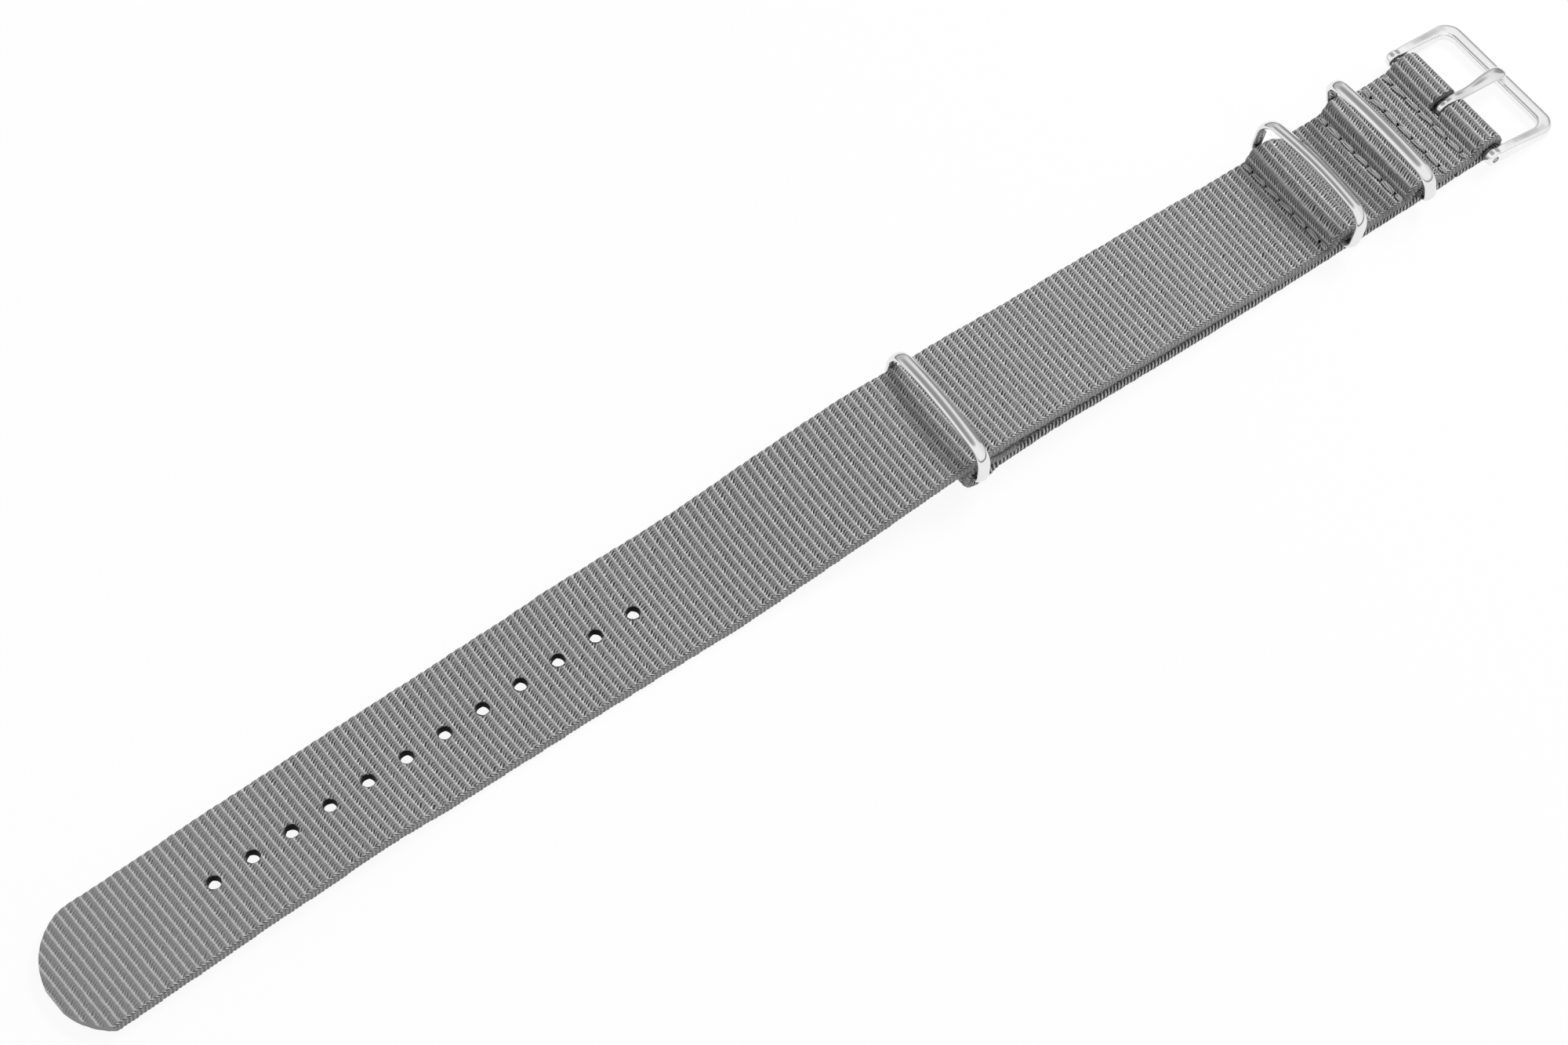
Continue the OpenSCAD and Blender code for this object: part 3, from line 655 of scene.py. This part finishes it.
cuts = {"holes": 12, "holeRadius": 1.05, "holeFoot": 0.80, "holeDepth": 3.4, "firstHole": -215.9, "holeStep": 6.3,
        "needleRadius": 0.34, "needleStep": 20 / 6.5, "needleFrom": 1.7, "needleTo": 4,
        "slotFrom": -2.3, "slotTo": 8, "slotNear": -1.25, "slotFar": 0.92, "tipRadius": 11.0}


def tube(x, y, low, high, radius, sides):
    bpy.ops.mesh.primitive_cylinder_add(vertices=sides, radius=radius * mm, depth=(high - low) * mm,
                                        location=((x + barX) * mm, y * mm, (low + high) / 2 * mm))
    return bpy.context.object


def meltedHole(x, y):  # narrower at the foot, where the nylon has run together
    foot, depth = cuts["holeFoot"], cuts["holeDepth"]
    low = longHeight(x) + longLift(x) - 0.4
    bpy.ops.mesh.primitive_cone_add(vertices=40, radius1=foot * mm, radius2=(2 * cuts["holeRadius"] - foot) * mm,
                                    depth=depth * mm,
                                    location=((x + barX) * mm, y * mm, (low + depth / 2) * mm))
    return bpy.context.object


def block(low, high):
    bpy.ops.mesh.primitive_cube_add(size=1, location=[(a + b) / 2 * mm for a, b in zip(low, high)],
                                    scale=[(b - a) * mm for a, b in zip(low, high)])
    bpy.ops.object.transform_apply(location=False, rotation=False, scale=True)
    return bpy.context.object


def joined(pieces, name):
    bpy.ops.object.select_all(action="DESELECT")
    for piece in pieces:
        piece.select_set(True)
    bpy.context.view_layer.objects.active = pieces[0]
    bpy.ops.object.join()
    bpy.ops.object.transform_apply(location=True, rotation=True, scale=True)
    return namedPiece(name)


def carve(piece, cutter, wall):
    cutter.data.materials.append(wall)
    applyModifier(piece, "BOOLEAN", object=cutter, operation="DIFFERENCE", solver="MANIFOLD",
                  material_mode="TRANSFER")
    bpy.data.objects.remove(cutter)


longWebbing.data.materials.append(ribbedWebbing)
holes = []
for i in range(cuts["holes"]):
    x = cuts["firstHole"] + i * cuts["holeStep"]
    holes.append((x, longBow(x)))
cutters = [meltedHole(x, y) for x, y in holes]
for row in rowsAt[:4]:
    cutters += [tube(row, (i - 2.5) * cuts["needleStep"], cuts["needleFrom"], cuts["needleTo"],
                     cuts["needleRadius"], 12) for i in range(6)]
carve(longWebbing, joined(cutters, "holeCutter"), meltedNylonAndShade)
slotCutter = block((barX + cuts["slotFrom"], cuts["slotNear"], -2), (barX + cuts["slotTo"], cuts["slotFar"], 9))
carve(longWebbing, slotCutter, cutNylon)
tipX = longRoute["tipX"] + cuts["tipRadius"]
tipY = 10 + longBow(tipX) - cuts["tipRadius"] + 0.05
outside = block((barX + longRoute["tipX"] - 5, -20, -5), (barX + tipX, 20, 15))
tipRound = tube(tipX, tipY, -9, 19, cuts["tipRadius"], 160)
applyModifier(outside, "BOOLEAN", object=tipRound, operation="DIFFERENCE", solver="MANIFOLD")
bpy.data.objects.remove(tipRound)
focusOn(outside)
bpy.ops.object.transform_apply(location=True, rotation=True, scale=True)
carve(longWebbing, outside, meltedNylonAndShade)
smoothShade(longWebbing, 50)
shortWebbing.data.materials.append(ribbedWebbing)
smoothShade(shortWebbing, 50)
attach(longWebbing, "strap")
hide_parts("main_strap")
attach(shortWebbing, "strap")
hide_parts("keeper_strap")
print("holes, slot and tip are cut:", len(longWebbing.data.polygons), "faces")

# stitches of three strands side by side, each down a hole at both ends
stitchValues = {"count": 7, "step": 20 / 6.5, "endAt": 9.35, "strandRadius": 0.115, "spread": 0.25, "turns": 0.3,
                "points": 25, "fromHole": 0.34, "toHole": 0.10, "lift": 0.14, "dive": 0.75, "rise": 0.35,
                "gather": 0.55, "clear": 0.13, "tops": (2.62, 2.62, 2.62, 2.62, 3.9),
                "lows": (0.25, 0.25, 0.25, 0.25, 1.4)}


def stitchRow(name, rowX, surface, side, node):
    v = stitchValues
    draw = random.Random(name)
    data = bpy.data.curves.new(name, "CURVE")
    data.dimensions = "3D"
    data.bevel_depth = v["strandRadius"] * mm
    data.bevel_resolution = 2
    data.use_fill_caps = True
    for stitch in range(v["count"]):
        start = max((stitch - 3.5) * v["step"], -v["endAt"] - v["toHole"])
        reach = min((stitch - 2.5) * v["step"], v["endAt"] + v["fromHole"]) - start
        lean = draw.uniform(-0.12, 0.20)
        roll = draw.uniform(-0.4, 0.4)
        swell = draw.uniform(0.9, 1.1)
        for strand in range(3):
            spline = data.splines.new("POLY")
            spline.points.add(v["points"] - 1)
            own = draw.uniform(-0.03, 0.03)
            for i in range(v["points"]):
                t = i / (v["points"] - 1)
                off = 2 * t - 1
                lift = v["lift"] - (v["dive"] * off ** 8 if off < 0 else v["rise"] * off ** 4)
                gather = 1 - v["gather"] * off ** 4
                turn = math.pi * (strand - 1) * 0.5 + roll + 2 * math.pi * v["turns"] * (t - 0.5)
                y = start + v["toHole"] + (reach - v["toHole"] - v["fromHole"]) * t
                x = rowX + (v["spread"] * math.sin(turn) + own) * gather * swell - lean * off
                z = surface + side * (lift + v["spread"] * 0.4 * math.cos(turn) * gather)
                spline.points[i].co = ((x + barX) * mm, y * mm, max(z, v["clear"]) * mm, 1)
    piece = bpy.data.objects.new(name, data)
    bpy.context.scene.collection.objects.link(piece)
    focusOn(piece)
    bpy.ops.object.convert(target="MESH")
    piece = bpy.context.object
    piece.data.materials.clear()
    smoothShade(piece, 70)
    finishPiece(piece, "strap", "thread", glossyThread, node)


for i, rowX in enumerate(rowsAt):
    stitchRow("needleStitches%d" % (i + 1), rowX, stitchValues["tops"][i], 1, "row_%d_needle_thread" % (i + 1))
    stitchRow("bobbinStitches%d" % (i + 1), rowX, stitchValues["lows"][i], -1, "row_%d_bobbin_thread" % (i + 1))
print("stitches are sewn")

# melted rims of the sizing holes
rimValues = {"radius": 1.08, "thick": 0.06, "rough": 0.03, "sunk": 0.05}
draw = random.Random(11)
rims = []
for x, y in holes:
    top = longHeight(x) + longLift(x) + webThick + longTwist(x) * (y - longBow(x)) / 20
    bpy.ops.mesh.primitive_torus_add(major_segments=36, minor_segments=8, major_radius=rimValues["radius"] * mm,
                                     minor_radius=rimValues["thick"] * mm,
                                     location=((x + barX) * mm, y * mm, (top - rimValues["sunk"]) * mm))
    rim = bpy.context.object
    for vertex in rim.data.vertices:
        vertex.co += Vector([draw.uniform(-1, 1) * rimValues["rough"] * mm for _ in range(3)])
    rims.append(rim)
holeRims = joined(rims, "holeRims")
smoothShade(holeRims, 80)
finishPiece(holeRims, "strap", "webbing", meltedRim)

# keepers: an oval wire bent round, with a crowned upper bar; lean and twist in degrees
keeperValues = {"width": 2.1, "thick": 1.15, "lowRadius": 1.5, "topRadius": 2.8, "height": 6.0, "crown": 1.0}


def keeperRing(name, x, aside, z, half, lean, twist, body, node):
    v = keeperValues
    low, top = v["lowRadius"], v["topRadius"]
    crownRadius = round((half * half + v["crown"] ** 2) / (2 * v["crown"]) + top, 2)
    archZ = v["height"] + v["crown"] - crownRadius
    bend = math.asin((half - top) / (crownRadius - top))
    cornerZ = archZ + (crownRadius - top) * math.cos(bend)
    bpy.ops.object.select_all(action="DESELECT")
    bpy.ops.mesh.primitive_circle_add(vertices=44, radius=1)
    ring = namedPiece(name)
    ring.scale = (v["width"] / 2 * mm, v["thick"] / 2 * mm, 1)
    ring.rotation_euler = (math.radians(90), 0, 0)
    bpy.ops.object.transform_apply(location=True, rotation=True, scale=True)
    bpy.ops.object.mode_set(mode="EDIT")
    bpy.ops.mesh.select_all(action="SELECT")

    def straight(dy, dz):
        bpy.ops.mesh.extrude_edges_move(TRANSFORM_OT_translate={"value": (0, dy * mm, dz * mm)})

    def turn(y, z, angle, steps):
        bpy.ops.mesh.spin(steps=steps, angle=-angle, center=(0, y * mm, z * mm), axis=(1, 0, 0))

    straight(half - low, 0)
    turn(half - low, low, math.pi / 2, 12)
    straight(0, cornerZ - low)
    turn(half - top, cornerZ, math.pi / 2 - bend, 14)
    turn(0, archZ, 2 * bend, 30)
    turn(top - half, cornerZ, math.pi / 2 - bend, 14)
    straight(0, low - cornerZ)
    turn(low - half, low, math.pi / 2, 12)
    straight(half - low, 0)
    bpy.ops.mesh.select_all(action="SELECT")
    bpy.ops.mesh.remove_doubles(threshold=0.001 * mm)
    bpy.ops.mesh.normals_make_consistent(inside=False)
    bpy.ops.object.mode_set(mode="OBJECT")
    for vertex in ring.data.vertices:
        vertex.co.x += vertex.co.y * math.radians(twist) * vertex.co.z / (v["height"] * mm)
    ring.data.transform(Matrix.Translation(((barX + x) * mm, aside * mm, z * mm))
                        @ Matrix.Rotation(math.radians(lean), 4, "Y"))
    smoothShade(ring, 40)
    finishPiece(ring, body, "polished_steel", polishedSteel, node)


keeperRing("frontKeeper", x=-12.5, aside=-0.45, z=2.325, half=11.05, lean=-8, twist=0,
           body="front_ring", node="keeper_front")
keeperRing("rearKeeper", x=-27.2, aside=-0.2, z=2.325, half=11.05, lean=16, twist=0,
           body="rear_ring", node="keeper_rear")
keeperRing("looseKeeper", x=-94.9, aside=-0.1, z=2.4731, half=10.85, lean=6, twist=2.2,
           body="loose_ring", node="keeper_loose")
print("keepers are bent")

# buckle frame: the solid, with the soft edges of a cast and tumbled piece; its arms are narrower at the ears
frameValues = {"voxel": 0.085, "smoothings": 95, "swell": 0.1, "armFrom": 10.6, "earHole": 0.56, "aside": 0.12,
               "armWidth": [(-1.3, 0.84), (1.5, 0.86), (6.0, 0.98), (9.5, 1.08), (12.3, 1.12)]}
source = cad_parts["buckle_frame"]
buckleFrame = bpy.data.objects.new("buckleFrame", source.data.copy())
bpy.context.scene.collection.objects.link(buckleFrame)
focusOn(buckleFrame)
bpy.ops.object.mode_set(mode="EDIT")
bpy.ops.mesh.select_all(action="SELECT")
bpy.ops.mesh.remove_doubles(threshold=0.0005 * mm)
bpy.ops.object.mode_set(mode="OBJECT")
applyModifier(buckleFrame, "REMESH", mode="VOXEL", voxel_size=frameValues["voxel"] * mm)
for vertex in buckleFrame.data.vertices:
    beyond = abs(vertex.co.y) - frameValues["armFrom"] * mm
    if beyond > 0:
        share = float(np.interp(vertex.co.x / mm - barX, *zip(*frameValues["armWidth"])))
        vertex.co.y = math.copysign(frameValues["armFrom"] * mm + beyond * share, vertex.co.y)
applyModifier(buckleFrame, "SMOOTH", factor=0.5, iterations=frameValues["smoothings"])
applyModifier(buckleFrame, "DISPLACE", strength=frameValues["swell"] * mm, mid_level=0)
buckleFrame.data.transform(Matrix.Translation((0, frameValues["aside"] * mm, 0)))
bpy.ops.object.select_all(action="DESELECT")
bpy.ops.mesh.primitive_cylinder_add(vertices=40, radius=frameValues["earHole"] * mm, depth=30 * mm,
                                    location=(barX * mm, 0, barZ * mm), rotation=(math.radians(90), 0, 0))
earHole = bpy.context.object
bpy.ops.object.transform_apply(location=True, rotation=True, scale=True)
applyModifier(buckleFrame, "BOOLEAN", object=earHole, operation="DIFFERENCE", solver="MANIFOLD")
bpy.data.objects.remove(earHole)
smoothShade(buckleFrame, 50)
finishPiece(buckleFrame, "buckle", "polished_steel", satinSteel, "buckle_frame")

# tongue: an oval shank that widens to its tip, and a ball-like eye round the bar
tongueValues = {"eyeRadius": 1.62, "eyeHalf": 0.98, "eyeFullness": 0.75, "holeRadius": 0.78, "sides": 28,
                "voxel": 0.055, "smoothings": 8, "aside": -0.18,
                # each station of the shank: from the bar, above it, half width, half height
                "shank": [(0.1, 1.12, 0.72, 0.50), (0.9, 1.20, 0.84, 0.58), (1.8, 1.14, 0.92, 0.62),
                          (2.9, 0.88, 0.85, 0.60), (4.2, 0.66, 0.80, 0.56), (5.5, 0.58, 0.84, 0.57),
                          (6.8, 0.66, 0.97, 0.60), (8.0, 0.74, 1.08, 0.61), (9.2, 0.70, 1.15, 0.60),
                          (10.2, 0.56, 1.18, 0.57), (11.0, 0.34, 1.14, 0.50), (11.5, 0.12, 0.98, 0.40),
                          (11.8, -0.04, 0.62, 0.24)]}
bpy.ops.object.select_all(action="DESELECT")
startX, startZ, startW, startH = tongueValues["shank"][0]
bpy.ops.mesh.primitive_circle_add(vertices=tongueValues["sides"], radius=mm, fill_type="NGON",
                                  location=(startX * mm, 0, startZ * mm), rotation=(0, math.radians(90), 0))
shank = bpy.context.object
bpy.ops.object.transform_apply(location=True, rotation=True, scale=True)
bpy.ops.object.mode_set(mode="EDIT")
bpy.ops.mesh.select_all(action="SELECT")
bpy.ops.transform.resize(value=(1, startW, startH), center_override=(startX * mm, 0, startZ * mm))
for last, this in zip(tongueValues["shank"], tongueValues["shank"][1:]):
    bpy.ops.mesh.extrude_region_move(
        TRANSFORM_OT_translate={"value": ((this[0] - last[0]) * mm, 0, (this[1] - last[1]) * mm)})
    bpy.ops.transform.resize(value=(1, this[2] / last[2], this[3] / last[3]),
                             center_override=(this[0] * mm, 0, this[1] * mm))
bpy.ops.mesh.select_all(action="SELECT")
bpy.ops.mesh.normals_make_consistent(inside=False)
bpy.ops.object.mode_set(mode="OBJECT")
applyModifier(shank, "SUBSURF", levels=2, render_levels=2)
bpy.ops.object.select_all(action="DESELECT")
bpy.ops.mesh.primitive_uv_sphere_add(segments=64, ring_count=32, radius=1)
eye = bpy.context.object
for vertex in eye.data.vertices:  # fuller at its sides than a ball
    vertex.co.y = math.copysign(abs(vertex.co.y) ** tongueValues["eyeFullness"], vertex.co.y)
eye.scale = [tongueValues[key] * mm for key in ("eyeRadius", "eyeHalf", "eyeRadius")]
bpy.ops.object.transform_apply(location=True, rotation=True, scale=True)
buckleTongue = joined([eye, shank], "buckleTongue")
applyModifier(buckleTongue, "REMESH", mode="VOXEL", voxel_size=tongueValues["voxel"] * mm)
applyModifier(buckleTongue, "SMOOTH", factor=0.5, iterations=tongueValues["smoothings"])
bpy.ops.object.select_all(action="DESELECT")
bpy.ops.mesh.primitive_cylinder_add(vertices=48, radius=tongueValues["holeRadius"] * mm, depth=4 * mm,
                                    rotation=(math.radians(90), 0, 0))
eyeHole = bpy.context.object
bpy.ops.object.transform_apply(location=True, rotation=True, scale=True)
applyModifier(buckleTongue, "BOOLEAN", object=eyeHole, operation="DIFFERENCE", solver="MANIFOLD")
bpy.data.objects.remove(eyeHole)
buckleTongue.data.transform(Matrix.Translation((barX * mm, tongueValues["aside"] * mm, barZ * mm)))
smoothShade(buckleTongue, 45)
finishPiece(buckleTongue, "tongue", "polished_steel", polishedSteel, "buckle_tongue")
for name in ("bar_tube", "bar_tip_near", "bar_tip_far", "bar_spring"):
    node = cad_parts[name]
    node.data.materials.clear()
    node.data.materials.append(shadedDrawnSteel)
print("buckle and bar are finished")
